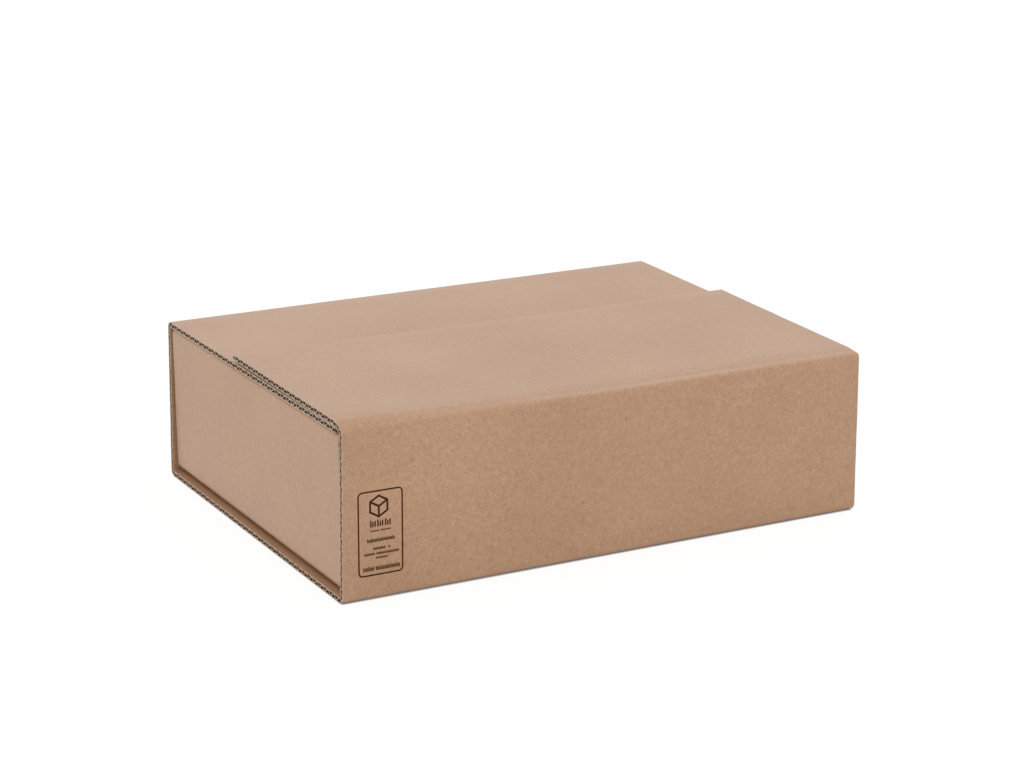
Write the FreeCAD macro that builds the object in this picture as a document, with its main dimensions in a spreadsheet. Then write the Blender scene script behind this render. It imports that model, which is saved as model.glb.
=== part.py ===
import FreeCAD, Part

import os
import re

import Sketcher

# A wrap-style mailer of single-wall corrugated board, closed, in millimetres.
# X runs along the long side, Y from the front wall to the back wall and Z upwards.
# Two crossing strips of board make it. The outer wrap goes round the Y and Z sides, and its
# cut edges show the flutes at both ends. The inner cradle stands inside the wrap, with an end
# wall just inside each open end.

SIZES = {
    "box_length": 300.0,
    "box_depth": 225.0,
    "inner_top_height": 88.0,
    "board_thickness": 3.0,
    "liner_thickness": 0.35,
    "fluting_thickness": 0.35,
    "flute_pitch": 6.5,
    "flute_land": 1.0,
    "flute_tip_width": 0.75,
    "crushed_width": 1.5,
    "uncut_edge": 1.0,
    "wrap_fold_radius": 3.6,
    "flap_fold_radius": 5.5,
    "flap_reach": 134.0,
    "flap_gap_at_fold": 0.2,
    "flap_gap_at_edge": 1.2,
    "inner_top_end_gap": 3.5,
    "end_wall_recess": 1.5,
    "cradle_side_gap": 0.8,
    "cradle_top_gap": 0.2,
    "cradle_fold_radius": 4.5,
    "cradle_base_rise": 1.9,
    "cradle_rise_run": 16.0,
    "cradle_flap_length": 90.0,
    "adhesive_width": 20.0,
    "adhesive_setback": 12.0,
    "adhesive_end_margin": 8.0,
}

doc = FreeCAD.newDocument("wrap_mailer")
sheet = doc.addObject("Spreadsheet::Sheet", "sizes")
for row, (alias, value) in enumerate(SIZES.items(), start=1):
    sheet.set(f"A{row}", alias)
    sheet.set(f"B{row}", str(value))
    sheet.setAlias(f"B{row}", alias)
doc.recompute()


def on_sheet(expression):
    """The expression with each size's alias written as a cell of the sheet."""
    return re.sub(r"[a-z_]+", lambda word: f"sizes.{word[0]}" if word[0] in SIZES else word[0], expression)


def worth(expression):
    """The number that an expression in the sheet's sizes gives."""
    return float(sheet.evalExpression(on_sheet(expression)))


def bind(feature, prop, expression):
    """Ties a property of a feature to the sheet."""
    feature.setExpression(prop, on_sheet(expression))


def make_body(name):
    body = doc.addObject("PartDesign::Body", name)
    body.Label = name
    return body


def make_sketch(body, name, plane_role):
    """A sketch on one of the body's own origin planes."""
    sketch = body.newObject("Sketcher::SketchObject", name)
    planes = {feature.Role: feature for feature in body.Origin.OriginFeatures}
    sketch.AttachmentSupport = [(planes[plane_role], "")]
    sketch.MapMode = "FlatFace"
    doc.recompute()
    return sketch


def place_point(sketch, curve, end, place):
    """Ties one end of a curve to a place in the sketch, given as two expressions."""
    origin, root = -1, 1
    for kind, expression in zip(("DistanceX", "DistanceY"), place):
        tie = Sketcher.Constraint(kind, origin, root, curve, end, worth(expression))
        number = sketch.addConstraint(tie)
        bind(sketch, f"Constraints[{number}]", expression)


def draw_loop(sketch, corners):
    """A closed outline of straight sides through corners given as pairs of expressions."""
    points = [FreeCAD.Vector(worth(across), worth(up), 0) for across, up in corners]
    sides = [Part.LineSegment(start, finish) for start, finish in zip(points, points[1:] + points[:1])]
    numbers = list(sketch.addGeometry(sides, False))
    for number, following in zip(numbers, numbers[1:] + numbers[:1]):
        sketch.addConstraint(Sketcher.Constraint("Coincident", number, 2, following, 1))
    for number, place in zip(numbers, corners):
        place_point(sketch, number, 1, place)


def pad(body, sketch, name, length):
    """A pad of the sketch, with half of its length on each side of the sketch's plane."""
    feature = body.newObject("PartDesign::Pad", name)
    feature.Profile = sketch
    feature.SideType = "Symmetric"
    bind(feature, "Length", length)
    doc.recompute()
    return feature


def round_folds(body, feature, name, direction, places, radius):
    """Rounds the board's surface along the folds that pass through the given places."""
    edges = []
    for number, edge in enumerate(feature.Shape.Edges, start=1):
        start, finish = edge.firstVertex().Point, edge.lastVertex().Point
        along_fold = (finish - start).cross(direction).Length < 1e-6
        if along_fold and any((place - start).cross(direction).Length < 1e-4 for place in places):
            edges.append(f"Edge{number}")
    fillet = body.newObject("PartDesign::Fillet", name)
    fillet.Base = (feature, edges)
    bind(fillet, "Radius", radius)
    doc.recompute()
    return fillet


# The fluting fills the core between the two liners. Its wave leaves a hollow above it and one
# below it in each pitch: wide at its liner, with sloping flanks and a narrow tip at the other.
CORE = "( board_thickness - 2 * liner_thickness )"
HOLLOW_HALF_WIDTH = "( flute_pitch - flute_land ) / 2"
TIP_HALF_WIDTH = "flute_tip_width / 2"
TIP_FLOOR = f"fluting_thickness - {CORE} / 2"


def draw_hollow(sketch, centre, side):
    """One hollow of the fluting: side is 1 for one above the wave and -1 for one below it."""

    def place(across, up):
        return f"{centre} + {side} * ( {across} )", f"{side} * ( {up} )"

    draw_loop(sketch, [
        place(f"-1 * {TIP_HALF_WIDTH}", TIP_FLOOR),
        place(TIP_HALF_WIDTH, TIP_FLOOR),
        place(HOLLOW_HALF_WIDTH, f"{CORE} / 2"),
        place(f"-1 * {HOLLOW_HALF_WIDTH}", f"{CORE} / 2"),
    ])


def flute_panel(body, name, start, angle, run, depth=None):
    """Cuts the hollows of the fluting along one flat panel.

    The flutes run along X. start is where the panel's mid-plane begins, as expressions for Y
    and Z, angle is the panel's slope and run is its length. depth is how far the hollows
    reach, both ways together, and None takes them through the whole body.
    """
    count = f"floor( ( {run} + flute_land - flute_pitch / 2 ) / flute_pitch )"
    margin = f"( {run} - {count} * flute_pitch ) / 2"
    sketch = make_sketch(body, f"{name}_hollows", "YZ_Plane")
    draw_hollow(sketch, "0.25 * flute_pitch", 1)
    draw_hollow(sketch, "0.75 * flute_pitch", -1)
    sketch.AttachmentOffset = FreeCAD.Placement(
        FreeCAD.Vector(), FreeCAD.Rotation(FreeCAD.Vector(0, 0, 1), worth(angle)))
    bind(sketch, "AttachmentOffset.Base.x", f"{start[0]} + {margin} * cos( {angle} * 1 deg )")
    bind(sketch, "AttachmentOffset.Base.y", f"{start[1]} + {margin} * sin( {angle} * 1 deg )")
    bind(sketch, "AttachmentOffset.Rotation.Angle", f"{angle} * 1 deg")
    doc.recompute()

    pocket = body.newObject("PartDesign::Pocket", f"{name}_first_flute")
    pocket.Profile = sketch
    pocket.SideType = "Symmetric"
    if depth is None:
        pocket.Type = "ThroughAll"
    else:
        pocket.Type = "Length"
        bind(pocket, "Length", depth)
    doc.recompute()

    flutes = body.newObject("PartDesign::LinearPattern", f"{name}_flutes")
    flutes.Originals = [pocket]
    flutes.Direction = (sketch, ["H_Axis"])
    flutes.Mode = "Spacing"
    bind(flutes, "Offset", "flute_pitch")
    bind(flutes, "Occurrences", count)
    body.Tip = flutes
    doc.recompute()


# The closing flap leaves the front wall a little above the inner top panel, and rises towards
# its free edge. In the wrap's own frame Y is 0 at the front wall's outer face.
FLAP_TOP_AT_FRONT = "( inner_top_height + flap_gap_at_fold + board_thickness )"
FLAP_SLOPE = "( flap_gap_at_edge - flap_gap_at_fold ) / flap_reach"
INNER_TOP_FRONT = "( board_thickness + inner_top_end_gap )"


def flap_underside(across):
    """The height of the flap's underside at a distance from the front wall's outer face."""
    return f"inner_top_height + flap_gap_at_fold + {FLAP_SLOPE} * ( {across} )"


def make_outer_wrap():
    """One strip folded round: inner top panel, back wall, bottom, front wall and closing flap."""
    body = make_body("outer_wrap")
    flap_edge_top = f"{flap_underside('flap_reach')} + board_thickness"
    flap_inner_corner = flap_underside("board_thickness")
    outside = [
        ("box_depth", "inner_top_height"),
        ("box_depth", "0"),
        ("0", "0"),
    ]
    inside = [
        ("board_thickness", "board_thickness"),
        ("box_depth - board_thickness", "board_thickness"),
        ("box_depth - board_thickness", "inner_top_height - board_thickness"),
    ]
    flap_outside = ("0", FLAP_TOP_AT_FRONT)
    flap_inside = ("board_thickness", flap_inner_corner)
    section = make_sketch(body, "wrap_section", "YZ_Plane")
    draw_loop(section, [
        (INNER_TOP_FRONT, "inner_top_height"),
        *outside,
        flap_outside,
        ("flap_reach", flap_edge_top),
        ("flap_reach", flap_underside("flap_reach")),
        flap_inside,
        *inside,
        (INNER_TOP_FRONT, "inner_top_height - board_thickness"),
    ])
    board = pad(body, section, "wrap_board", "box_length")

    along_x = FreeCAD.Vector(1, 0, 0)
    for name, folds, radius in (
            ("outer_folds", outside, "wrap_fold_radius"),
            ("inner_folds", inside, "wrap_fold_radius - board_thickness"),
            ("flap_fold_outside", [flap_outside], "flap_fold_radius"),
            ("flap_fold_inside", [flap_inside], "flap_fold_radius - board_thickness")):
        places = [FreeCAD.Vector(0, worth(across), worth(up)) for across, up in folds]
        board = round_folds(body, board, name, along_x, places, radius)

    half_board = "board_thickness / 2"
    flat_from = "( wrap_fold_radius + crushed_width )"
    flap_from = "( flap_fold_radius + crushed_width )"
    inner_top_from = f"( {INNER_TOP_FRONT} + uncut_edge )"
    flute_panel(body, "inner_top", (inner_top_from, f"inner_top_height - {half_board}"), "0",
                f"( box_depth - {flat_from} - {inner_top_from} )")
    flute_panel(body, "back_wall", (f"box_depth - {half_board}", flat_from), "90",
                f"( inner_top_height - 2 * {flat_from} )")
    flute_panel(body, "bottom", (flat_from, half_board), "0", f"( box_depth - 2 * {flat_from} )")
    flute_panel(body, "front_wall", (half_board, flat_from), "90",
                f"( {FLAP_TOP_AT_FRONT} - {flap_from} - {flat_from} )")
    flute_panel(body, "flap", (flap_from, f"{flap_underside(flap_from)} + {half_board}"),
                f"( atan( {FLAP_SLOPE} ) / 1 deg )", f"( flap_reach - uncut_edge - {flap_from} )")
    bind(body, "Placement.Base.y", "-1 * box_depth / 2")
    return body


def make_inner_cradle():
    """The crossing strip: base, two end walls and two flaps folded in over the goods.

    The stiff folds lift the ends of the base a little off the wrap's bottom.
    """
    body = make_body("inner_cradle")
    outer_x = "( box_length / 2 - end_wall_recess )"
    inner_x = f"( {outer_x} - board_thickness )"
    flap_end = f"( {outer_x} - cradle_flap_length )"
    rise_from = f"( {outer_x} - cradle_rise_run )"
    low = "board_thickness"
    end_low = "( board_thickness + cradle_base_rise )"
    high = "( inner_top_height - board_thickness - cradle_top_gap )"
    width = "( box_depth - 2 * board_thickness - 2 * cradle_side_gap )"
    outside = [
        (outer_x, high),
        (outer_x, end_low),
        (f"-1 * {outer_x}", end_low),
        (f"-1 * {outer_x}", high),
    ]
    inside = [
        (f"-1 * {inner_x}", f"{high} - board_thickness"),
        (f"-1 * {inner_x}", f"{end_low} + board_thickness"),
        (inner_x, f"{end_low} + board_thickness"),
        (inner_x, f"{high} - board_thickness"),
    ]
    underside = [(rise_from, low), (f"-1 * {rise_from}", low)]
    upper_side = [(across, f"{up} + board_thickness") for across, up in reversed(underside)]
    section = make_sketch(body, "cradle_section", "XZ_Plane")
    draw_loop(section, [
        (flap_end, high),
        *outside[:2],
        *underside,
        *outside[2:],
        (f"-1 * {flap_end}", high),
        (f"-1 * {flap_end}", f"{high} - board_thickness"),
        *inside[:2],
        *upper_side,
        *inside[2:],
        (flap_end, f"{high} - board_thickness"),
    ])
    board = pad(body, section, "cradle_board", width)

    along_y = FreeCAD.Vector(0, 1, 0)
    for name, folds, radius in (
            ("outer_folds", outside, "cradle_fold_radius"),
            ("inner_folds", inside, "cradle_fold_radius - board_thickness")):
        places = [FreeCAD.Vector(worth(across), 0, worth(up)) for across, up in folds]
        board = round_folds(body, board, f"cradle_{name}", along_y, places, radius)

    flute_panel(body, "cradle_flaps",
                (f"uncut_edge - {width} / 2", f"{high} - board_thickness / 2"), "0",
                f"( {width} - 2 * uncut_edge )",
                depth=f"2 * ( {outer_x} - cradle_fold_radius - crushed_width )")
    return body


def make_flap_adhesive():
    """The strip of adhesive between the closing flap and the inner top panel."""
    body = make_body("flap_adhesive_strip")
    rear = "( flap_reach - adhesive_setback )"
    front = f"( {rear} - adhesive_width )"
    section = make_sketch(body, "adhesive_section", "YZ_Plane")
    draw_loop(section, [
        (front, "inner_top_height"),
        (rear, "inner_top_height"),
        (rear, flap_underside(rear)),
        (front, flap_underside(front)),
    ])
    pad(body, section, "adhesive", "box_length - 2 * adhesive_end_margin")
    bind(body, "Placement.Base.y", "-1 * box_depth / 2")
    return body


pieces = [make_outer_wrap(), make_inner_cradle(), make_flap_adhesive()]
doc.recompute()

for feature in doc.Objects:
    if {"Invalid", "Error"} & set(feature.State):
        raise RuntimeError(f"{feature.Label} failed: {feature.State}")
for piece in pieces:
    if piece.Shape.isNull() or not piece.Shape.isValid():
        raise RuntimeError(f"{piece.Label} has no valid shape")

os.makedirs("parts", exist_ok=True)
for piece in pieces:
    piece.Shape.exportStep(f"parts/{piece.Label}.step")
    box = piece.Shape.BoundBox
    print(f"{piece.Label}: {len(piece.Shape.Solids)} solid, {piece.Shape.Volume:.0f} mm3, "
          f"{box.XLength:.1f} x {box.YLength:.1f} x {box.ZLength:.1f} mm")
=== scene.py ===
import math

import bmesh
import bpy
from mathutils import Matrix, Vector
from mathutils.bvhtree import BVHTree


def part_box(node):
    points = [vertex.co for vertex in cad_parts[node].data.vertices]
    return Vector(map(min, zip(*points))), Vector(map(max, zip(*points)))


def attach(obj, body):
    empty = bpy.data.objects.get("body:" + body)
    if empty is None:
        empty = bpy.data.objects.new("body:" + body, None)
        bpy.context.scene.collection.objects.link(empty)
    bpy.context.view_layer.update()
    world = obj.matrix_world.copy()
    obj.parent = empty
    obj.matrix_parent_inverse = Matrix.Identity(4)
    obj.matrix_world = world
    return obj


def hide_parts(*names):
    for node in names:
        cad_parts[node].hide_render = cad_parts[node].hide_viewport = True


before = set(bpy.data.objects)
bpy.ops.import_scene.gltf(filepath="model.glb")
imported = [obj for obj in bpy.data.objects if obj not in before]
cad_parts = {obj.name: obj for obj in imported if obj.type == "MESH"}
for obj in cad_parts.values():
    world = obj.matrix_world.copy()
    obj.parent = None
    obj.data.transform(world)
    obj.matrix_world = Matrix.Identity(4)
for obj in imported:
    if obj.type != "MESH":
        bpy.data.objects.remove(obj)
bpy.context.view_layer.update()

MM = 0.001

# The board's sizes are those of the part's source. Some of its folds and gaps are a little
# tighter or wider here, as they are on the box in the photograph.

BOARD = 3.0 * MM
LINER = 0.35 * MM
FLUTING = 0.35 * MM
FLUTE_PITCH = 6.5 * MM
WRAP_FOLD = 3.6 * MM
FLAP_CREASE_BEND = 0.7 * MM
FLAP_SOFT_BEND = 9.0 * MM
CRADLE_FOLD = 4.5 * MM
CRADLE_TOP_BEND = 1.0 * MM
CRADLE_RISE = 1.4 * MM
CRADLE_RISE_RUN = 16.0 * MM
CRADLE_RISE_BEND = 25.0 * MM
CRADLE_FLAP = 90.0 * MM
INNER_TOP_HEIGHT = 88.0 * MM
INNER_TOP_END_GAP = 4.6 * MM
FLAP_REACH = 134.0 * MM
FLAP_GAP_AT_FOLD = 0.2 * MM
FLAP_GAP_AT_EDGE = 1.2 * MM

# How the real box differs from a true block: the front wall is creased lower than the flap
# lies, the top sags towards its front except at the left end, the wrap's ends lean in at the
# top, and the cradle is a little narrow and its end walls stand further in at their foot.

CREASE_HEIGHT = 87.8 * MM
CREASE_RUN = 7.0 * MM
SAG = 3.6 * MM
SAG_RUN = 160.0 * MM
CREASE_SAG_SHARE = 0.25
LEAN_IN = 1.0 * MM
CRADLE_FOOT_IN = 0.6 * MM
CRADLE_LEAN_OUT = 0.7 * MM
CRADLE_SIDE_CUT = 1.4 * MM

# Heights between which the sag and the panels' unevenness set in, and what the cut edges and
# folds take from the board's depth and from the height of its waves, as shares.

SAG_HEIGHTS = (60.0 * MM, 80.0 * MM)
UNEVEN_HEIGHTS = (8.0 * MM, 30.0 * MM)
EDGE_DEPTH_LOSS = 0.05
FOLD_DEPTH_LOSS = 0.06
FOLD_WAVE_LOSS = 0.12
FLUTE_WANDER = 1.4

wrap_low, wrap_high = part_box("outer_wrap")


# Camera and studio. Angles are in degrees.

CAMERA_LENS = 93.67
CAMERA_PLACE = (-0.64919, -1.20696, 0.46998)
CAMERA_HEADING = 28.389
CAMERA_PITCH = 16.613
CAMERA_ROLL = 0.216
LIGHT_LEVEL = 1.09
BACKDROP_LEVEL = 1.0
FLOOR_REACH = 12.0
FLOOR_LEVEL = -0.15 * MM
FLOOR_PAINT = (0.86, 0.86, 0.86, 1)
FLOOR_SHADE = (0.12, 0.12, 0.12, 1)
FLOOR_GLOW = (0.90, 0.90, 0.90, 1)
# Painted contact shadow: within this reach of the box, ambient occlusion darkens the floor's paint
# and glow to the two dark colours below.
CONTACT_REACH = 2.5 * MM
CONTACT_OPENNESS = (0.12, 0.55)
PAINTED_CONTACT_SHADE = (0.30, 0.29, 0.28, 1)
PAINTED_CONTACT_SHADOW = (0.16, 0.13, 0.11, 1)


def add_camera():
    """A camera at the photograph's place: a long lens, level with a hair of roll."""
    camera = bpy.data.cameras.new("studio_camera")
    camera.lens = CAMERA_LENS
    camera.sensor_width = 36.0
    camera.clip_start = 0.05
    camera.clip_end = 50.0
    turn = (Matrix.Rotation(math.radians(-CAMERA_HEADING), 4, "Z")
            @ Matrix.Rotation(math.radians(90 - CAMERA_PITCH), 4, "X")
            @ Matrix.Rotation(math.radians(CAMERA_ROLL), 4, "Z"))
    holder = bpy.data.objects.new("studio_camera", camera)
    holder.matrix_world = Matrix.Translation(CAMERA_PLACE) @ turn
    bpy.context.collection.objects.link(holder)
    bpy.context.scene.camera = holder


class Socket:
    """A node's output. Arithmetic on number sockets adds Math nodes."""

    def __init__(self, nodes, socket):
        self.nodes = nodes
        self.socket = socket

    def math(self, operation, *others):
        inputs = dict(enumerate((self, *others)))
        return self.nodes.add("ShaderNodeMath", {"operation": operation}, inputs)

    def __add__(self, other):
        return self.math("ADD", other)

    __radd__ = __add__

    def __mul__(self, other):
        return self.math("MULTIPLY", other)

    __rmul__ = __mul__

    def __sub__(self, other):
        return self.math("SUBTRACT", other)

    def __rsub__(self, other):
        return (self * -1) + other

    def __truediv__(self, other):
        return self.math("DIVIDE", other)

    def __rtruediv__(self, other):
        return (self ** -1) * other

    def __abs__(self):
        return self.math("ABSOLUTE")

    def __pow__(self, other):
        return self.math("POWER", other)

    def __gt__(self, other):
        return self.math("GREATER_THAN", other)


class Nodes:
    """Adds nodes to one tree."""

    def __init__(self, tree):
        self.tree = tree

    def add(self, kind, settings=None, inputs=None, output=0):
        """A node of one kind: its settings go first, then the values or links of its sockets."""
        node = self.tree.nodes.new(kind)
        for name, value in (settings or {}).items():
            setattr(node, name, value)
        for key, value in (inputs or {}).items():
            if isinstance(value, Socket):
                self.tree.links.new(value.socket, node.inputs[key])
            else:
                node.inputs[key].default_value = value
        if output is None:
            return node
        return Socket(self, node.outputs[output])

    def out(self, node, output):
        return Socket(self, node.outputs[output])

    def vector(self, operation, *values):
        inputs = dict(enumerate(values))
        return self.add("ShaderNodeVectorMath", {"operation": operation}, inputs)

    def scaled(self, vector, factor):
        return self.add("ShaderNodeVectorMath", {"operation": "SCALE"}, {0: vector, "Scale": factor})

    def parts(self, vector):
        node = self.add("ShaderNodeSeparateXYZ", None, {0: vector}, None)
        return [self.out(node, number) for number in range(3)]

    def joined(self, *values):
        return self.add("ShaderNodeCombineXYZ", None, dict(enumerate(values)))

    def between(self, value, low, high):
        """0 below low, 1 above high and a soft step from one to the other."""
        return self.add("ShaderNodeMapRange", {"interpolation_type": "SMOOTHSTEP"},
                        {"Value": value, "From Min": low, "From Max": high})

    def share(self, value, low, high):
        """0 at low, 1 at high and a straight line between; low may be the greater."""
        inputs = {"Value": value, "From Min": low, "From Max": high}
        return self.add("ShaderNodeMapRange", None, inputs)

    def noise(self, vector, scale, detail=2.0, roughness=0.5, output="Fac"):
        return self.add("ShaderNodeTexNoise", None, {
            "Vector": vector, "Scale": scale, "Detail": detail, "Roughness": roughness}, output)

    def mix_colour(self, factor, first, second):
        return self.add("ShaderNodeMix", {"data_type": "RGBA"}, {0: factor, 6: first, 7: second}, 2)

    def named(self, name, kind):
        """A named attribute of the geometry that a field is read on."""
        return self.add("GeometryNodeInputNamedAttribute", {"data_type": kind}, {"Name": name})

    def stored(self, geometry, name, kind, domain, value):
        """The geometry with the value kept as a named attribute."""
        settings = {"data_type": kind, "domain": domain}
        inputs = {"Geometry": geometry, "Name": name, "Value": value}
        return self.add("GeometryNodeStoreNamedAttribute", settings, inputs)

    def dressed(self, geometry, material, selection=True):
        """The geometry with a material on all its faces or on the selected ones."""
        inputs = {"Geometry": geometry, "Selection": selection, "Material": material}
        return self.add("GeometryNodeSetMaterial", None, inputs)


def shader_nodes(name):
    """A new material with an empty tree, ready for its nodes."""
    material = bpy.data.materials.new(name)
    material.use_nodes = True
    material.node_tree.nodes.clear()
    return material, Nodes(material.node_tree)


def seen_directly(nodes):
    """1 for rays that end in the picture straight from the lens, from gloss or through glass."""
    path = nodes.add("ShaderNodeLightPath", output=None)
    seen = nodes.out(path, "Is Camera Ray")
    for kind in ("Is Glossy Ray", "Is Transmission Ray"):
        seen = seen.math("MAXIMUM", nodes.out(path, kind))
    return seen


def set_world():
    """Even white studio light from all round, with a white backdrop."""
    world = bpy.data.worlds.new("white_studio")
    world.use_nodes = True
    world.node_tree.nodes.clear()
    nodes = Nodes(world.node_tree)
    seen = seen_directly(nodes)
    strength = seen * (BACKDROP_LEVEL - LIGHT_LEVEL) + LIGHT_LEVEL
    light = nodes.add("ShaderNodeBackground", None, {"Color": (1, 1, 1, 1), "Strength": strength})
    nodes.add("ShaderNodeOutputWorld", None, {"Surface": light}, None)
    bpy.context.scene.world = world


def add_floor():
    """A white floor that shows the box's contact shadow and the dark line under it, mostly as painted
    shadow: ambient occlusion darkens its glow and its paint near the box.
    """
    material, nodes = shader_nodes("white_floor")
    seen = seen_directly(nodes)
    # Painted shadow: near the box, ambient occlusion turns the floor's paint and its glow dark.
    openness = nodes.add(
        "ShaderNodeAmbientOcclusion", {"samples": 12}, {"Distance": CONTACT_REACH}, "AO")
    clear = nodes.between(openness, *CONTACT_OPENNESS)
    paint_with_painted_shade = nodes.mix_colour(clear, PAINTED_CONTACT_SHADE, FLOOR_PAINT)
    paint = nodes.add("ShaderNodeBsdfDiffuse", None, {"Color": paint_with_painted_shade})
    shaded = nodes.add("ShaderNodeBsdfDiffuse", None, {"Color": FLOOR_SHADE})
    glow_with_painted_shadow = nodes.mix_colour(clear, PAINTED_CONTACT_SHADOW, FLOOR_GLOW)
    glow = nodes.add("ShaderNodeEmission", None, {"Color": glow_with_painted_shadow})
    backdrop = nodes.add("ShaderNodeAddShader", None, {0: shaded, 1: glow})
    surface = nodes.add("ShaderNodeMixShader", None, {0: seen, 1: paint, 2: backdrop})
    nodes.add("ShaderNodeOutputMaterial", None, {"Surface": surface}, None)
    mesh = bpy.data.meshes.new("studio_floor")
    signs = ((-1, -1), (1, -1), (1, 1), (-1, 1))
    corners = [(x * FLOOR_REACH, y * FLOOR_REACH, FLOOR_LEVEL) for x, y in signs]
    mesh.from_pydata(corners, [], [(0, 1, 2, 3)])
    mesh.materials.append(material)
    floor = bpy.data.objects.new("studio_floor", mesh)
    bpy.context.collection.objects.link(floor)


# Materials. The board's pieces carry "strip_place": the place across the strip, the place
# along it and the depth through the board, in metres.

KRAFT = (0.431, 0.248, 0.142, 1)
KRAFT_DARK = (0.335, 0.182, 0.098, 1)
KRAFT_PALE = (0.527, 0.320, 0.192, 1)
KRAFT_SPECK = (0.150, 0.085, 0.050, 1)
KRAFT_CHIP = (0.620, 0.430, 0.300, 1)
CUT_EDGE = (0.460, 0.345, 0.250, 1)
MEDIUM = (0.260, 0.155, 0.092, 1)
MEDIUM_DARK = (0.160, 0.092, 0.054, 1)
INK = (0.050, 0.021, 0.008, 1)
INK_THIN = (0.17, 0.085, 0.040, 1)
HOT_MELT_DEEP = (0.46, 0.30, 0.13, 1)
HOT_MELT_THIN = (0.64, 0.46, 0.24, 1)

# Reliefs and the band at a cut side are in metres. Specks and chips have the spacing of their
# grid, the share of its cells that hold one and a radius.

KRAFT_ROUGHNESS = 0.37
MEDIUM_ROUGHNESS = 0.78
INK_ROUGHNESS = 0.85
HOT_MELT_ROUGHNESS = 0.35
KRAFT_RELIEF = 0.045 * MM
WASHBOARD_RELIEF = 0.006 * MM
MEDIUM_RELIEF = 0.06 * MM
HOT_MELT_RELIEF = 0.2 * MM
CUT_BAND = (0.10 * MM, 0.04 * MM)
SPECKS = (8.0 * MM, 0.20, 0.42 * MM)
CHIPS = (7.0 * MM, 0.06, 0.40 * MM)


def object_place(nodes):
    """The place on the object, in metres."""
    return nodes.add("ShaderNodeTexCoord", None, None, "Object")


def strip_places(nodes):
    """The places across the strip and along it."""
    strip = nodes.add("ShaderNodeAttribute", {"attribute_name": "strip_place"}, None, "Vector")
    return nodes.parts(strip)[:2]


def pale_at_cut(nodes, colour, across, half_width):
    """The colour, and the torn fibres' own where the strip's two sides were cut."""
    at_cut = nodes.between(abs(across), half_width - CUT_BAND[0], half_width - CUT_BAND[1])
    return nodes.mix_colour(at_cut, colour, CUT_EDGE)


def end_with_surface(nodes, inputs, height=None, bump_strength=0.6):
    """Ends a material with one surface, embossed by a height in metres."""
    if height is not None:
        bump = {"Strength": bump_strength, "Distance": 1.0, "Height": height}
        inputs["Normal"] = nodes.add("ShaderNodeBump", None, bump)
    surface = nodes.add("ShaderNodeBsdfPrincipled", None, inputs)
    nodes.add("ShaderNodeOutputMaterial", None, {"Surface": surface}, None)


def specks(nodes, place, spacing, share, radius):
    """A mask of small round flecks in a few of the cells of a loose grid."""
    cells = nodes.add(
        "ShaderNodeTexVoronoi", {"feature": "F1"}, {"Vector": place, "Scale": 1 / spacing}, None)
    chance = nodes.parts(nodes.out(cells, "Color"))
    chosen = chance[0] > 1 - share
    distance = nodes.out(cells, "Distance") * spacing
    size = radius * (0.5 + chance[1])
    return chosen * (1 - nodes.between(distance / size, 0.6, 1.1))


def make_kraft(name, half_width):
    """Unbleached kraft liner: mottled fibres, a few flecks, faint lines over the flutes."""
    material, nodes = shader_nodes(name)
    place = object_place(nodes)
    across, along = strip_places(nodes)
    cloud = nodes.noise(place, 14.0, 3.0, 0.55)
    mottle = nodes.noise(place, 430.0, 4.0, 0.65)
    grain = nodes.noise(place, 1300.0, 2.0, 0.6)
    fibre_place = nodes.joined(across * 1400.0, along * 260.0, 0.0)
    fibres = nodes.noise(fibre_place, 1.0, 3.0, 0.6)
    tone = 0.5
    for pattern, weight in ((cloud, 0.35), (mottle, 0.6), (grain, 0.9), (fibres, 0.3)):
        tone = (pattern - 0.5) * weight + tone
    shade = nodes.between(tone, 0.1, 0.9)
    low = nodes.mix_colour(nodes.between(shade, 0.0, 0.5), KRAFT_DARK, KRAFT)
    colour = nodes.mix_colour(nodes.between(shade, 0.5, 1.0), low, KRAFT_PALE)
    colour = nodes.mix_colour(specks(nodes, place, *SPECKS) * 0.75, colour, KRAFT_SPECK)
    elsewhere = nodes.vector("ADD", place, (0.31, 0.17, 0.23))
    colour = nodes.mix_colour(specks(nodes, elsewhere, *CHIPS) * 0.4, colour, KRAFT_CHIP)
    colour = pale_at_cut(nodes, colour, across, half_width)

    washboard = (along * (2 * math.pi / FLUTE_PITCH)).math("SINE")
    relief = (mottle * 0.5 + fibres * 0.3 + grain * 0.35) * KRAFT_RELIEF
    relief = relief + washboard * WASHBOARD_RELIEF
    roughness = (mottle - 0.5) * 0.2 + KRAFT_ROUGHNESS
    end_with_surface(nodes, {"Base Color": colour, "Roughness": roughness}, relief)
    return material


def make_medium(name, half_width):
    """Fluting paper: duller and darker than the liners, with short fibres and a pale cut edge."""
    material, nodes = shader_nodes(name)
    mottle = nodes.noise(object_place(nodes), 420.0, 4.0, 0.65)
    colour = nodes.mix_colour(nodes.between(mottle, 0.3, 0.7), MEDIUM_DARK, MEDIUM)
    colour = pale_at_cut(nodes, colour, strip_places(nodes)[0], half_width)
    roughness = (mottle - 0.5) * 0.2 + MEDIUM_ROUGHNESS
    end_with_surface(nodes, {"Base Color": colour, "Roughness": roughness}, mottle * MEDIUM_RELIEF)
    return material


def make_ink(name):
    """Dark brown flexographic ink, a little thin where the board's fibres stand up."""
    material, nodes = shader_nodes(name)
    worn = nodes.noise(object_place(nodes), 1500.0, 3.0, 0.7)
    colour = nodes.mix_colour(nodes.between(worn, 0.55, 0.85), INK, INK_THIN)
    roughness = (worn - 0.5) * 0.2 + INK_ROUGHNESS
    end_with_surface(nodes, {"Base Color": colour, "Roughness": roughness, "Specular IOR Level": 0.0})
    return material


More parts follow.
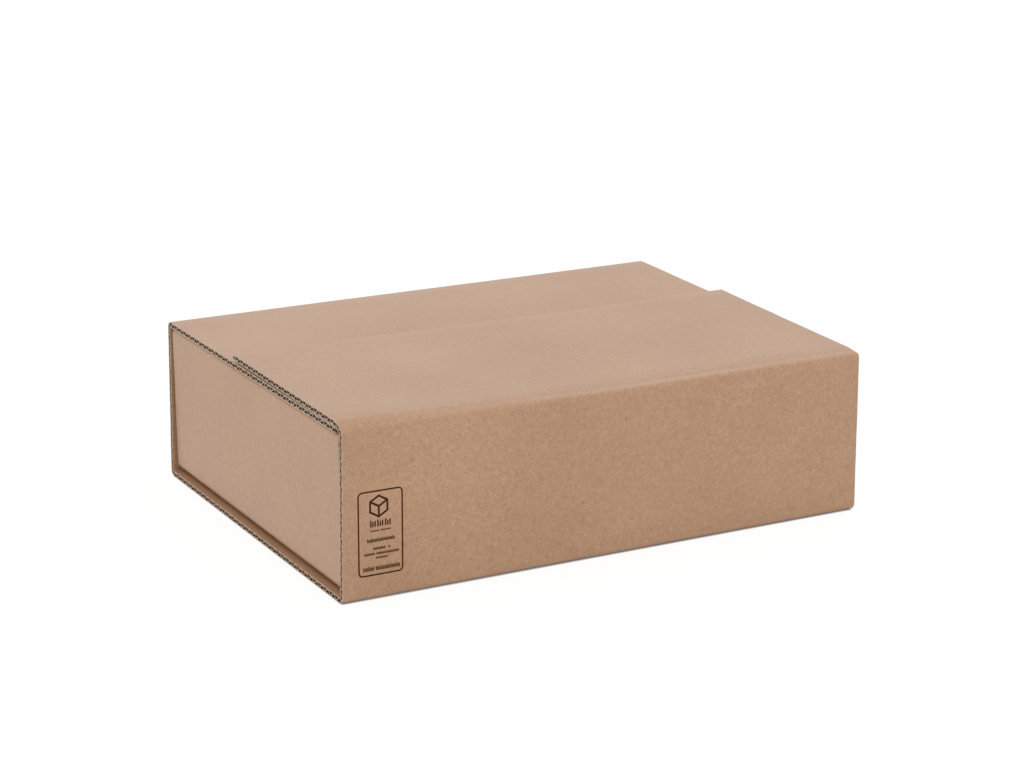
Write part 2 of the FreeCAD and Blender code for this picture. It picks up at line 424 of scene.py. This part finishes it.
def make_hot_melt(name):
    """Amber hot-melt adhesive with a slightly uneven face."""
    material, nodes = shader_nodes(name)
    ripple = nodes.noise(object_place(nodes), 160.0, 3.0, 0.5)
    colour = nodes.mix_colour(ripple, HOT_MELT_DEEP, HOT_MELT_THIN)
    inputs = {"Base Color": colour, "Roughness": ripple * 0.15 + HOT_MELT_ROUGHNESS}
    end_with_surface(nodes, inputs, ripple * HOT_MELT_RELIEF, 0.5)
    return material


# Corrugated board: a strip of three papers that follows a folded path. The rows of a paper lie
# closer together towards its two sides. A path has plain points between its bends, a spacing
# apart and from just past each bend on.

WRAP_SPACING = 9 * MM
CRADLE_SPACING = 14 * MM
ADHESIVE_SPACING = 2 * MM
PAST_BEND = 0.5 * MM
BEND_FROM = 1.0 * MM
ARC_POINTS = 9
SHARP_ANGLE = 50
BLOCK_EDGE = 0.4999
ROW_CROWDING = 2.5
UNEVENNESS = 0.2 * MM
FRAY = 0.14 * MM
TEARS_PER_METRE = 900.0
EDGE_SWELLING = 0.4
CREST_BITE = 0.02 * MM


def make_group(name, inputs, outputs):
    """A Geometry Nodes tree with named sockets. Each input is a name, a kind and a default."""
    tree = bpy.data.node_groups.new(name, "GeometryNodeTree")
    for label, kind, default in inputs:
        socket = tree.interface.new_socket(label, in_out="INPUT", socket_type=f"NodeSocket{kind}")
        if default is not None:
            socket.default_value = default
    for label in outputs:
        tree.interface.new_socket(label, in_out="OUTPUT", socket_type="NodeSocketGeometry")
    nodes = Nodes(tree)
    source = nodes.add("NodeGroupInput", output=None)
    sockets = {label: nodes.out(source, label) for label, _, _ in inputs}
    return tree, nodes, sockets


PAPER_INPUTS = [
    ("Stations", "Geometry", None),
    ("Rows", "Int", 16),
    ("Edge Crowding", "Float", ROW_CROWDING),
    ("Across", "Vector", (1, 0, 0)),
    ("Width", "Float", 0.3),
    ("Depth", "Float", 0.0),
    ("Thickness", "Float", LINER),
    ("Wave Height", "Float", 0.0),
    ("Wave Length", "Float", FLUTE_PITCH),
    ("Flutes Along Strip", "Float", 0.0),
    ("Unevenness", "Float", UNEVENNESS),
    ("Fray", "Float", FRAY),
    ("Edge Swelling", "Float", EDGE_SWELLING),
    ("Sag", "Float", SAG),
    ("Lean In", "Float", 0.0),
    ("Seed", "Float", 0.0),
]


def make_paper_tree():
    """One paper of the board: a closed thin skin over the stations of a bent strip.

    Depth is the distance from the board's mid-plane to the paper's own, outwards. A paper
    with a wave height is the fluting, and its waves run along the strip or across it. Sag
    lowers the top towards the front, save at the left end. Lean In draws both ends in at the
    top.
    """
    tree, nodes, given = make_group("paper_layer", PAPER_INPUTS, ["Paper"])
    stations = given["Stations"]
    count = nodes.add(
        "GeometryNodeAttributeDomainSize", {"component": "CURVE"}, {0: stations}, "Point Count")
    block = nodes.add("GeometryNodeMeshCube", None, {
        "Size": (1, 1, 1), "Vertices X": given["Rows"], "Vertices Y": count, "Vertices Z": 2}, "Mesh")
    side, step, layer = nodes.parts(nodes.add("GeometryNodeInputPosition"))
    number = ((step + 0.5) * (count - 1)).math("ROUND")

    def at_station(kind, field):
        return nodes.add("GeometryNodeSampleIndex", {"data_type": kind, "domain": "POINT"},
                         {"Geometry": stations, "Value": field, "Index": number})

    spot = at_station("FLOAT_VECTOR", nodes.add("GeometryNodeInputPosition"))
    tangent = at_station("FLOAT_VECTOR", nodes.add("GeometryNodeInputTangent"))
    along = at_station("FLOAT", nodes.add("GeometryNodeSplineParameter", None, None, "Length"))
    fold = at_station("FLOAT", nodes.named("fold_radius", "FLOAT"))
    in_fold = nodes.between(fold, 0.0, BEND_FROM)

    reach = 1 - (1 - abs(side * 2)) ** given["Edge Crowding"]
    across = side.math("SIGN") * reach * given["Width"] * 0.5
    outward = nodes.vector("NORMALIZE", nodes.vector("CROSS_PRODUCT", given["Across"], tangent))

    follow = given["Flutes Along Strip"]
    wave_place = along * (1 - follow) + across * follow
    rate = (2 * math.pi) / given["Wave Length"]
    height = given["Wave Height"] * (1 - in_fold * FOLD_WAVE_LOSS)
    wander = nodes.noise(nodes.joined(wave_place * 70.0, given["Seed"], 0.0), 1.0)
    phase = wave_place * rate + (wander - 0.5) * FLUTE_WANDER
    lift = height * phase.math("SINE")
    slope = height * rate * phase.math("COSINE")
    up_strip = nodes.scaled(tangent, 1 - follow)
    wave_way = nodes.vector("ADD", up_strip, nodes.scaled(given["Across"], follow))
    leaning = nodes.vector("SUBTRACT", outward, nodes.scaled(wave_way, slope))
    face = nodes.vector("NORMALIZE", leaning)

    middle = nodes.vector("ADD", spot, nodes.scaled(given["Across"], across))
    shifted = nodes.vector("ADD", middle, (3.1, 1.7, 5.3))
    swell = (nodes.noise(shifted, 11.0, 1.0, 0.4) - 0.5) * 2 * given["Unevenness"]
    x, y, z = nodes.parts(middle)
    off_floor = nodes.between(z, *UNEVEN_HEIGHTS)

    at_side = abs(side) > BLOCK_EDGE
    at_end = abs(step) > BLOCK_EDGE
    at_edge = at_side.math("MAXIMUM", at_end)
    depth = given["Depth"] * (1 - at_edge * EDGE_DEPTH_LOSS) * (1 - in_fold * FOLD_DEPTH_LOSS)
    depth = depth + lift + swell * off_floor
    body = nodes.vector("ADD", middle, nodes.scaled(outward, depth))
    thickness = given["Thickness"] * (1 + at_side * given["Edge Swelling"])
    skin = nodes.vector("ADD", body, nodes.scaled(face, layer * thickness))

    torn_place = nodes.joined(
        along * TEARS_PER_METRE, across * TEARS_PER_METRE, given["Seed"] + layer * 0.4)
    torn = nodes.vector("SUBTRACT", nodes.noise(torn_place, 1.0, 1.0, 0.5, "Color"), (0.5, 0.5, 0.5))
    rough = nodes.vector("ADD", skin, nodes.scaled(torn, at_edge * given["Fray"] * 2))

    front, back = wrap_low[1], wrap_high[1]
    at_crease = nodes.share(x, wrap_low[0], wrap_high[0]) * CREASE_SAG_SHARE
    past_crease = nodes.share(y, front, front + CREASE_RUN)
    sag = given["Sag"] * nodes.between(x, wrap_low[0], wrap_low[0] + SAG_RUN)
    sag = sag * nodes.share(y, back, front) * nodes.share(z, *SAG_HEIGHTS)
    sag = sag * (at_crease + (1 - at_crease) * past_crease)
    lean = given["Lean In"] * (x / wrap_high[0]) * (z / INNER_TOP_HEIGHT)
    final = nodes.vector("SUBTRACT", rough, nodes.joined(lean, 0.0, sag))

    strip_place = nodes.joined(across, along, given["Depth"] + lift)
    marked = nodes.stored(block, "strip_place", "FLOAT_VECTOR", "POINT", strip_place)
    placed = nodes.add("GeometryNodeSetPosition", None, {"Geometry": marked, "Position": final})
    nodes.add("NodeGroupOutput", None, {"Paper": placed}, None)
    return tree


PASSED_ON = (
    "Across", "Width", "Flutes Along Strip", "Unevenness", "Fray", "Edge Swelling", "Sag",
    "Lean In",
)

BOARD_INPUTS = [
    ("Path", "Geometry", None),
    ("Across", "Vector", (1, 0, 0)),
    ("Width", "Float", 0.3),
    ("Board Thickness", "Float", BOARD),
    ("Liner Thickness", "Float", LINER),
    ("Fluting Thickness", "Float", FLUTING),
    ("Flute Pitch", "Float", FLUTE_PITCH),
    ("Flutes Along Strip", "Float", 0.0),
    ("Steps Per Flute", "Int", 14),
    ("Liner Rows", "Int", 24),
    ("Fluting Rows", "Int", 16),
    ("Fluting Crowding", "Float", ROW_CROWDING),
    ("Unevenness", "Float", UNEVENNESS),
    ("Fray", "Float", FRAY),
    ("Edge Swelling", "Float", EDGE_SWELLING),
    ("Sag", "Float", SAG),
    ("Lean In", "Float", 0.0),
    ("Seed", "Int", 0),
    ("Liner Material", "Material", None),
    ("Fluting Material", "Material", None),
]


def make_board_tree(paper_tree):
    """Single-wall board on a path of corner points, whose fold_radius rounds each corner."""
    tree, nodes, given = make_group("corrugated_board", BOARD_INPUTS, ["Board"])
    line = nodes.add("GeometryNodeMeshToCurve", None, {"Mesh": given["Path"]})
    bent = nodes.add("GeometryNodeFilletCurve", {"mode": "POLY"}, {
        "Curve": line, "Radius": nodes.named("fold_radius", "FLOAT"), "Count": ARC_POINTS,
        "Limit Radius": True})
    fine = nodes.add("GeometryNodeResampleCurve", {"mode": "LENGTH"}, {
        "Curve": bent, "Length": given["Flute Pitch"] / given["Steps Per Flute"]})
    stations = nodes.add("GeometryNodeSwitch", {"input_type": "GEOMETRY"}, {
        "Switch": given["Flutes Along Strip"] > 0.5, "False": fine, "True": bent})
    liner_depth = (given["Board Thickness"] - given["Liner Thickness"]) * 0.5
    core = given["Board Thickness"] - given["Liner Thickness"] * 2
    wave = (core - given["Fluting Thickness"]) * 0.5 + CREST_BITE

    papers = []
    for number, (kind, depth) in enumerate((
            ("Liner", liner_depth), ("Liner", liner_depth * -1), ("Fluting", 0.0))):
        fluted = kind == "Fluting"
        paper = nodes.add("GeometryNodeGroup", {"node_tree": paper_tree}, {
            "Stations": stations if fluted else bent,
            "Rows": given[f"{kind} Rows"],
            "Edge Crowding": given["Fluting Crowding"] if fluted else ROW_CROWDING,
            "Depth": depth,
            "Thickness": given[f"{kind} Thickness"],
            "Wave Height": wave if fluted else 0.0,
            "Wave Length": given["Flute Pitch"],
            "Seed": given["Seed"] + 7.3 * number,
            **{label: given[label] for label in PASSED_ON},
        })
        papers.append(nodes.stored(paper, "is_fluting", "BOOLEAN", "FACE", fluted))
    joined = nodes.add("GeometryNodeJoinGeometry", output=None)
    for paper in reversed(papers):
        tree.links.new(paper.socket, joined.inputs[0])
    real = nodes.add("GeometryNodeRealizeInstances", None, {"Geometry": nodes.out(joined, 0)})
    board = nodes.dressed(real, given["Liner Material"])
    board = nodes.dressed(board, given["Fluting Material"], nodes.named("is_fluting", "BOOLEAN"))
    nodes.add("NodeGroupOutput", None, {"Board": board}, None)
    return tree


ADHESIVE_INPUTS = [
    ("Path", "Geometry", None),
    ("Across", "Vector", (1, 0, 0)),
    ("Width", "Float", 0.28),
    ("Thickness", "Float", 1.0 * MM),
    ("Unevenness", "Float", 0.1 * MM),
    ("Sag", "Float", SAG),
    ("Material", "Material", None),
]


def make_adhesive_tree(paper_tree):
    """A flat strip of adhesive between two boards, which sags with them."""
    tree, nodes, given = make_group("adhesive_strip", ADHESIVE_INPUTS, ["Strip"])
    line = nodes.add("GeometryNodeMeshToCurve", None, {"Mesh": given["Path"]})
    strip = nodes.add("GeometryNodeGroup", {"node_tree": paper_tree}, {
        "Stations": line,
        "Rows": 24,
        "Across": given["Across"],
        "Width": given["Width"],
        "Thickness": given["Thickness"],
        "Unevenness": given["Unevenness"],
        "Edge Swelling": 0.0,
        "Sag": given["Sag"],
    })
    real = nodes.add("GeometryNodeRealizeInstances", None, {"Geometry": strip})
    nodes.add("NodeGroupOutput", None, {"Strip": nodes.dressed(real, given["Material"])}, None)
    return tree


def path_object(name, corners, spacing):
    """A chain of points through corners of (place, fold radius), with plain points between."""
    places = [Vector(place) for place, _ in corners]
    runs = [finish - start for start, finish in zip(places, places[1:])]
    turns = [0.0, *(before.angle(after) for before, after in zip(runs, runs[1:])), 0.0]
    taken = [radius * math.tan(turn / 2) + PAST_BEND for (_, radius), turn in zip(corners, turns)]
    points, radii = [], []
    for number, run in enumerate(runs):
        points.append(places[number])
        radii.append(corners[number][1])
        first, last = taken[number], run.length - taken[number + 1]
        count = max(1, round((last - first) / spacing))
        for step in range(count + 1):
            reach = first + (last - first) * step / count
            points.append(places[number] + run.normalized() * reach)
            radii.append(0.0)
    points.append(places[-1])
    radii.append(0.0)
    mesh = bpy.data.meshes.new(name)
    links = [(n, n + 1) for n in range(len(points) - 1)]
    mesh.from_pydata([tuple(point) for point in points], links, [])
    mesh.attributes.new("fold_radius", "FLOAT", "POINT").data.foreach_set("value", radii)
    piece = bpy.data.objects.new(name, mesh)
    bpy.context.collection.objects.link(piece)
    return piece


def make_strip(name, tree, corners, spacing, settings):
    """A strip of board or adhesive on a path through the corners, as one plain mesh."""
    path = path_object(f"{name}_path", corners, spacing)
    modifier = path.modifiers.new("strip", "NODES")
    modifier.node_group = tree
    sockets = {item.name: item.identifier for item in tree.interface.items_tree
               if item.in_out == "INPUT"}
    for label, value in settings.items():
        modifier[sockets[label]] = value
    bpy.context.view_layer.update()
    graph = bpy.context.evaluated_depsgraph_get()
    mesh = bpy.data.meshes.new_from_object(path.evaluated_get(graph), depsgraph=graph)
    mesh.name = name
    if mesh.materials[0] is None:
        numbers = [face.material_index - 1 for face in mesh.polygons]
        mesh.materials.pop(index=0)
        mesh.polygons.foreach_set("material_index", numbers)
    path.modifiers.remove(modifier)
    bpy.data.objects.remove(path)
    piece = bpy.data.objects.new(name, mesh)
    bpy.context.collection.objects.link(piece)
    mesh.set_sharp_from_angle(angle=math.radians(SHARP_ANGLE))
    return piece


def wrap_corners():
    """The wrap's mid-plane: inner top from its front end, back, bottom, front and closing flap."""
    half = BOARD / 2
    fold = WRAP_FOLD - half
    front, back = wrap_low[1], wrap_high[1]
    slope = (FLAP_GAP_AT_EDGE - FLAP_GAP_AT_FOLD) / FLAP_REACH
    panel = INNER_TOP_HEIGHT - half

    def flap_height(reach):
        return INNER_TOP_HEIGHT + FLAP_GAP_AT_FOLD + slope * reach + half

    ramp = math.atan2(flap_height(CREASE_RUN) + half - CREASE_HEIGHT, CREASE_RUN)
    crease = CREASE_HEIGHT + half * math.tan(ramp) - half / math.cos(ramp)
    ramp_end = CREASE_RUN + half * math.tan(ramp / 2)
    return [
        ((0, front + BOARD + INNER_TOP_END_GAP, panel), 0.0),
        ((0, back - half, panel), fold),
        ((0, back - half, half), fold),
        ((0, front + half, half), fold),
        ((0, front + half, crease), FLAP_CREASE_BEND),
        ((0, front + ramp_end, flap_height(ramp_end)), FLAP_SOFT_BEND),
        ((0, front + FLAP_REACH, flap_height(FLAP_REACH)), 0.0),
    ]


def cradle_corners():
    """The cradle's mid-plane: left flap from its free edge, end wall, base, end wall, flap.

    The stiff folds lift the ends of the base a little off the wrap's bottom.
    """
    low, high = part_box("inner_cradle")
    half = BOARD / 2
    fold = CRADLE_FOLD - half
    bottom = low[2] + half
    top = high[2] - half
    wall = low[0] + CRADLE_FOOT_IN + half
    left = [
        ((low[0] + CRADLE_FLAP, 0, top), 0.0),
        ((wall, 0, top), CRADLE_TOP_BEND),
        ((wall, 0, bottom + CRADLE_RISE), fold),
        ((wall + CRADLE_RISE_RUN, 0, bottom), CRADLE_RISE_BEND),
    ]
    return left + [((-place[0], 0, place[2]), radius) for place, radius in reversed(left)]


# The print on the front wall: a frame round a carton mark and rows of ticks. Shapes are loops in
# millimetres, to the right and down from the frame's top left corner. A row has its upper and
# lower height, the width of a tick and the start and end of each word. The plates are laid on
# the wall from a place in front of it, and reach as far into it as out of it.

PRINT_FROM = -0.3
PRINT_LEFT = -141.5 * MM
PRINT_TOP = 55.9 * MM
INK_DEPTH = 0.03 * MM
FRAME_SIZE = (24.2, 43.4)
FRAME_STROKE = 0.8
FRAME_CORNER = 2.5
MARK_CENTRE = (11.3, 8.2)
MARK_RADIUS = 5.9
MARK_STROKE = 1.05
TICK_ROWS = [
    (15.0, 18.5, 0.75, ((6.6, 9.6), (10.4, 13.6), (14.5, 17.6))),
    (20.0, 20.9, 0.40, ((6.8, 11.5), (12.3, 17.5))),
    (24.2, 26.2, 0.50, ((4.9, 19.6),)),
    (28.8, 30.2, 0.36, ((8.1, 14.6), (16.3, 17.2))),
    (31.4, 32.8, 0.36, ((3.3, 9.0), (9.8, 21.8))),
    (33.7, 34.9, 0.36, ((9.5, 15.8),)),
    (38.4, 40.8, 0.48, ((2.7, 8.5), (9.3, 22.4))),
]
TICK_GAP_SHARE = 0.35
TICK_DROPS = (0.0, 0.28, 0.12, 0.28)


def along_loop(corners, spacing=1.5):
    """The loop through the corners with points no further apart than the spacing."""
    points = []
    for start, finish in zip(corners, corners[1:] + corners[:1]):
        count = math.ceil(math.dist(start, finish) / spacing)
        for number in range(count):
            part = number / count
            points.append(tuple(a + (b - a) * part for a, b in zip(start, finish)))
    return points


def rounded_frame(inset, radius):
    """The frame's rectangle, inset from its outside, with rounded corners."""
    width, height = FRAME_SIZE
    corners = []
    for cx, cy, start in ((width - inset - radius, inset + radius, 270),
                          (width - inset - radius, height - inset - radius, 0),
                          (inset + radius, height - inset - radius, 90),
                          (inset + radius, inset + radius, 180)):
        for step in range(8):
            angle = math.radians(start + 90 * step / 7)
            corners.append((cx + radius * math.cos(angle), cy + radius * math.sin(angle)))
    return along_loop(corners)


def carton_mark():
    """A carton seen from a corner: a hexagon with a hole for each of its three faces."""
    cx, cy = MARK_CENTRE

    def corner(radius, degrees):
        angle = math.radians(degrees)
        return (cx + radius * math.cos(angle), cy - radius * math.sin(angle))

    loops = [along_loop([corner(MARK_RADIUS, 30 + 60 * n) for n in range(6)])]
    side = MARK_RADIUS - 1.5 * MARK_STROKE / math.cos(math.radians(30))
    for middle in (90, 210, 330):
        hx, hy = corner(MARK_STROKE / math.sqrt(3), middle)
        shift = (hx - cx, hy - cy)
        rim = [corner(side, middle + turn) for turn in (-60, 0, 60)]
        rhombus = [(cx, cy), *rim]
        loops.append(along_loop([(x + shift[0], y + shift[1]) for x, y in rhombus]))
    return loops


def tick_row(upper, lower, width, words):
    """Upright ticks, some of them short, in place of a line of print."""
    loops = []
    for start, finish in words:
        gap = width * TICK_GAP_SHARE
        count = max(1, round((finish - start + gap) / (width + gap)))
        step = (finish - start - width) / max(1, count - 1)
        for number in range(count):
            left = start + number * step
            top = upper + (lower - upper) * TICK_DROPS[number % len(TICK_DROPS)]
            loops.append([(left, top), (left + width, top), (left + width, lower), (left, lower)])
    return loops


def make_print(name, board, material):
    """The printed shapes as thin closed plates, laid on the front wall of the board."""
    loops = [rounded_frame(0, FRAME_CORNER), rounded_frame(FRAME_STROKE, FRAME_CORNER - FRAME_STROKE)]
    loops.extend(carton_mark())
    for row in TICK_ROWS:
        loops.extend(tick_row(*row))
    curve = bpy.data.curves.new(name, "CURVE")
    curve.dimensions = "2D"
    curve.fill_mode = "BOTH"
    for loop in loops:
        spline = curve.splines.new("POLY")
        spline.points.add(len(loop) - 1)
        spline.points.foreach_set("co", [value for x, y in loop for value in (x, y, 0, 1)])
        spline.use_cyclic_u = True
    outline = bpy.data.objects.new(f"{name}_outline", curve)
    flat = bpy.data.meshes.new_from_object(outline)
    bpy.data.objects.remove(outline)

    surface = BVHTree.FromPolygons(
        [vertex.co for vertex in board.data.vertices],
        [face.vertices for face in board.data.polygons])
    sketch = bmesh.new()
    sketch.from_mesh(flat)
    bmesh.ops.remove_doubles(sketch, verts=sketch.verts, dist=1e-4)
    bmesh.ops.beautify_fill(sketch, faces=sketch.faces, edges=sketch.edges)
    for vertex in sketch.verts:
        x, y, _ = vertex.co
        start = Vector((PRINT_LEFT + x * MM, PRINT_FROM, PRINT_TOP - y * MM))
        hit = surface.ray_cast(start, Vector((0, 1, 0)))[0]
        vertex.co = (start.x, hit.y + INK_DEPTH, start.z)
    fronts = bmesh.ops.extrude_face_region(sketch, geom=sketch.faces[:])["geom"]
    for item in fronts:
        if isinstance(item, bmesh.types.BMVert):
            item.co.y -= 2 * INK_DEPTH
    bmesh.ops.recalc_face_normals(sketch, faces=sketch.faces)
    mesh = bpy.data.meshes.new(name)
    sketch.to_mesh(mesh)
    sketch.free()
    mesh.materials.append(material)
    piece = bpy.data.objects.new(name, mesh)
    bpy.context.collection.objects.link(piece)
    return piece


# The scene.

bpy.context.scene.view_settings.view_transform = "Standard"
add_camera()
set_world()
add_floor()

paper_tree = make_paper_tree()
board_tree = make_board_tree(paper_tree)
wrap_width = wrap_high[0] - wrap_low[0]
medium = make_medium("fluting_medium", wrap_width / 2)

wrap = make_strip("outer_wrap_board", board_tree, wrap_corners(), WRAP_SPACING, {
    "Across": (1, 0, 0),
    "Width": wrap_width,
    "Lean In": LEAN_IN,
    "Flutes Along Strip": 0.0,
    "Seed": 3,
    "Liner Material": make_kraft("kraft_wrap", wrap_width / 2),
    "Fluting Material": medium,
})
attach(wrap, "root")
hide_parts("outer_wrap")

cradle_low, cradle_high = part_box("inner_cradle")
cradle_width = cradle_high[1] - cradle_low[1] - 2 * CRADLE_SIDE_CUT
cradle = make_strip("inner_cradle_board", board_tree, cradle_corners(), CRADLE_SPACING, {
    "Across": (0, 1, 0),
    "Width": cradle_width,
    "Flutes Along Strip": 1.0,
    "Fluting Rows": 320,
    "Fluting Crowding": 1.0,
    "Lean In": -CRADLE_LEAN_OUT,
    "Seed": 11,
    "Liner Material": make_kraft("kraft_cradle", cradle_width / 2),
    "Fluting Material": medium,
})
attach(cradle, "root")
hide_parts("inner_cradle")

label = make_print("front_wall_print", wrap, make_ink("brown_ink"))
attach(label, "root")

glue_low, glue_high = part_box("flap_adhesive_strip")
glue_level = (glue_low[2] + glue_high[2]) / 2
glue_ends = [((0, glue_low[1], glue_level), 0.0), ((0, glue_high[1], glue_level), 0.0)]
adhesive_tree = make_adhesive_tree(paper_tree)
adhesive = make_strip("flap_adhesive", adhesive_tree, glue_ends, ADHESIVE_SPACING, {
    "Width": glue_high[0] - glue_low[0],
    "Thickness": glue_high[2] - glue_low[2],
    "Material": make_hot_melt("hot_melt_adhesive"),
})
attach(adhesive, "root")
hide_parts("flap_adhesive_strip")
